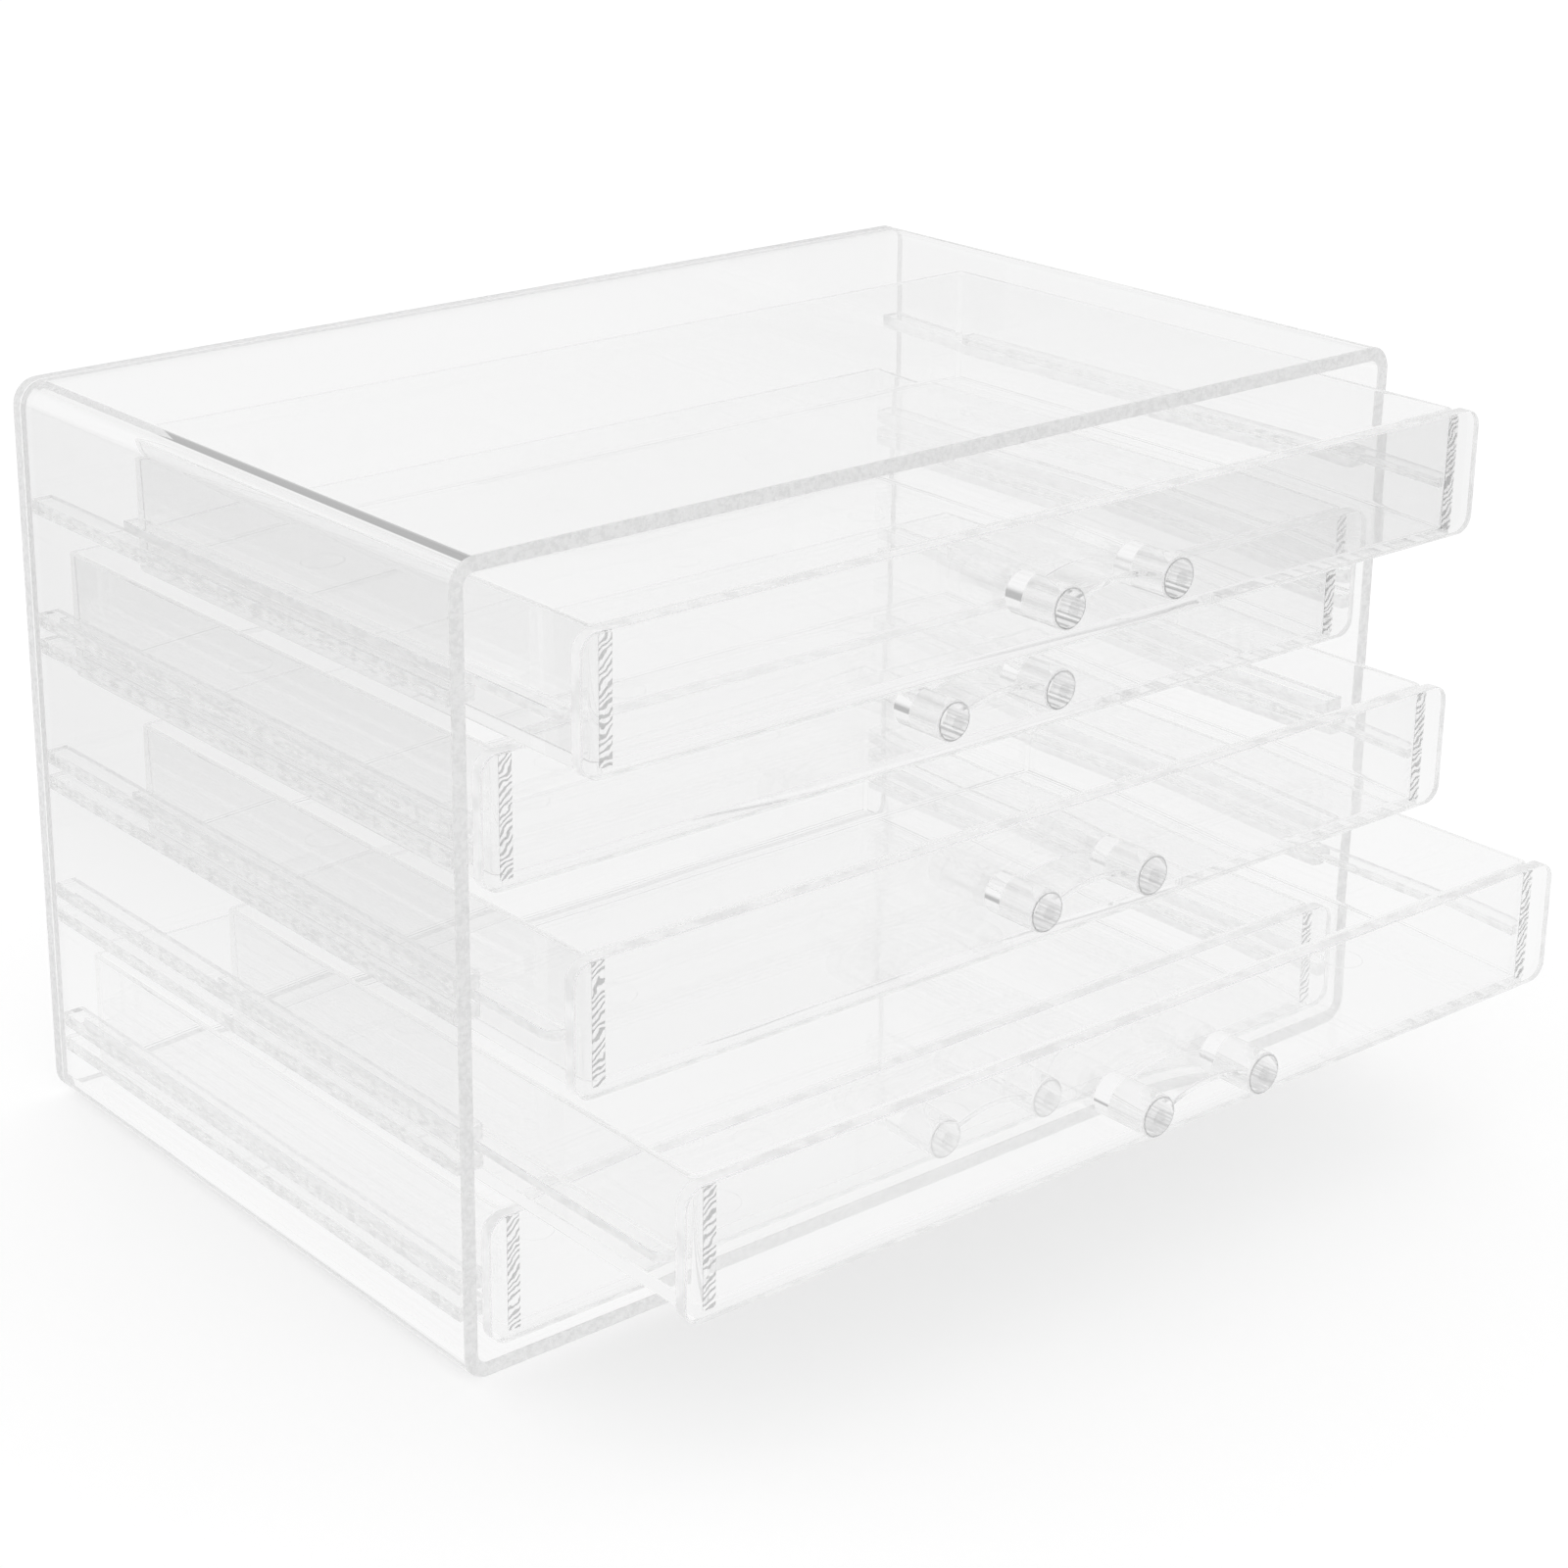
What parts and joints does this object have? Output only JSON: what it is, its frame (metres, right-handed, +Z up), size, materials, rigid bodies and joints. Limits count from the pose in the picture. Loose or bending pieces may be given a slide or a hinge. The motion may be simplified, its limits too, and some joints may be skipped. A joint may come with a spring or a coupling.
{
  "type": "acrylic makeup organizer drawers",
  "caption": "Clear box with rounded corners that holds shallow full-width drawers, each sliding out on ribs and pulled by a small arched handle.",
  "frame": {"origin": "centre of the case's flat underside", "axes": "+Z up; the drawers open towards -Y; +X to the right seen from the front"},
  "size_m": [0.24, 0.2217, 0.1585],
  "materials": {
    "case_acrylic": "clear polished acrylic sheet, satin on the sawn rims",
    "rib_acrylic": "clear acrylic strip, sawn edges",
    "tray_acrylic": "clear injection-moulded plastic, glossy",
    "panel_acrylic": "clear polished acrylic sheet with eased edges",
    "handle_acrylic": "clear injection-moulded plastic, glossy",
    "runner_acrylic": "clear acrylic strip, sawn edges"
  },
  "bodies": {
    "case": {"case_shell": "case_acrylic", "back_panel": "case_acrylic", "guide_rib_1_left_lower": "rib_acrylic", "guide_rib_1_right_lower": "rib_acrylic", "guide_rib_2_left_lower": "rib_acrylic", "guide_rib_2_left_upper": "rib_acrylic", "guide_rib_2_right_lower": "rib_acrylic", "guide_rib_2_right_upper": "rib_acrylic", "guide_rib_3_left_lower": "rib_acrylic", "guide_rib_3_left_upper": "rib_acrylic", "guide_rib_3_right_lower": "rib_acrylic", "guide_rib_3_right_upper": "rib_acrylic", "guide_rib_4_left_lower": "rib_acrylic", "guide_rib_4_left_upper": "rib_acrylic", "guide_rib_4_right_lower": "rib_acrylic", "guide_rib_4_right_upper": "rib_acrylic", "guide_rib_5_left_lower": "rib_acrylic", "guide_rib_5_left_upper": "rib_acrylic", "guide_rib_5_right_lower": "rib_acrylic", "guide_rib_5_right_upper": "rib_acrylic"},
    "drawer_1": {"front_panel_1": "panel_acrylic", "tray_1": "tray_acrylic", "handle_1": "handle_acrylic", "runner_1_left": "runner_acrylic", "runner_1_right": "runner_acrylic"},
    "drawer_2": {"front_panel_2": "panel_acrylic", "tray_2": "tray_acrylic", "handle_2": "handle_acrylic", "runner_2_left": "runner_acrylic", "runner_2_right": "runner_acrylic"},
    "drawer_3": {"front_panel_3": "panel_acrylic", "tray_3": "tray_acrylic", "handle_3": "handle_acrylic", "runner_3_left": "runner_acrylic", "runner_3_right": "runner_acrylic"},
    "drawer_4": {"front_panel_4": "panel_acrylic", "tray_4": "tray_acrylic", "handle_4": "handle_acrylic", "runner_4_left": "runner_acrylic", "runner_4_right": "runner_acrylic"},
    "drawer_5": {"front_panel_5": "panel_acrylic", "tray_5": "tray_acrylic", "handle_5": "handle_acrylic", "runner_5_left": "runner_acrylic", "runner_5_right": "runner_acrylic"}
  },
  "joints": [
    {"name": "drawer_1_slide", "type": "slide", "parent": "case", "child": "drawer_1", "axis": [0, -1, 0], "range_m": [-0.0288, 0.0832]},
    {"name": "drawer_2_slide", "type": "slide", "parent": "case", "child": "drawer_2", "axis": [0, -1, 0], "range_m": [0, 0.112]},
    {"name": "drawer_3_slide", "type": "slide", "parent": "case", "child": "drawer_3", "axis": [0, -1, 0], "range_m": [-0.0263, 0.0857]},
    {"name": "drawer_4_slide", "type": "slide", "parent": "case", "child": "drawer_4", "axis": [0, -1, 0], "range_m": [-0.0567, 0.0553]},
    {"name": "drawer_5_slide", "type": "slide", "parent": "case", "child": "drawer_5", "axis": [0, -1, 0], "range_m": [-0.0002, 0.1118]}
  ]
}
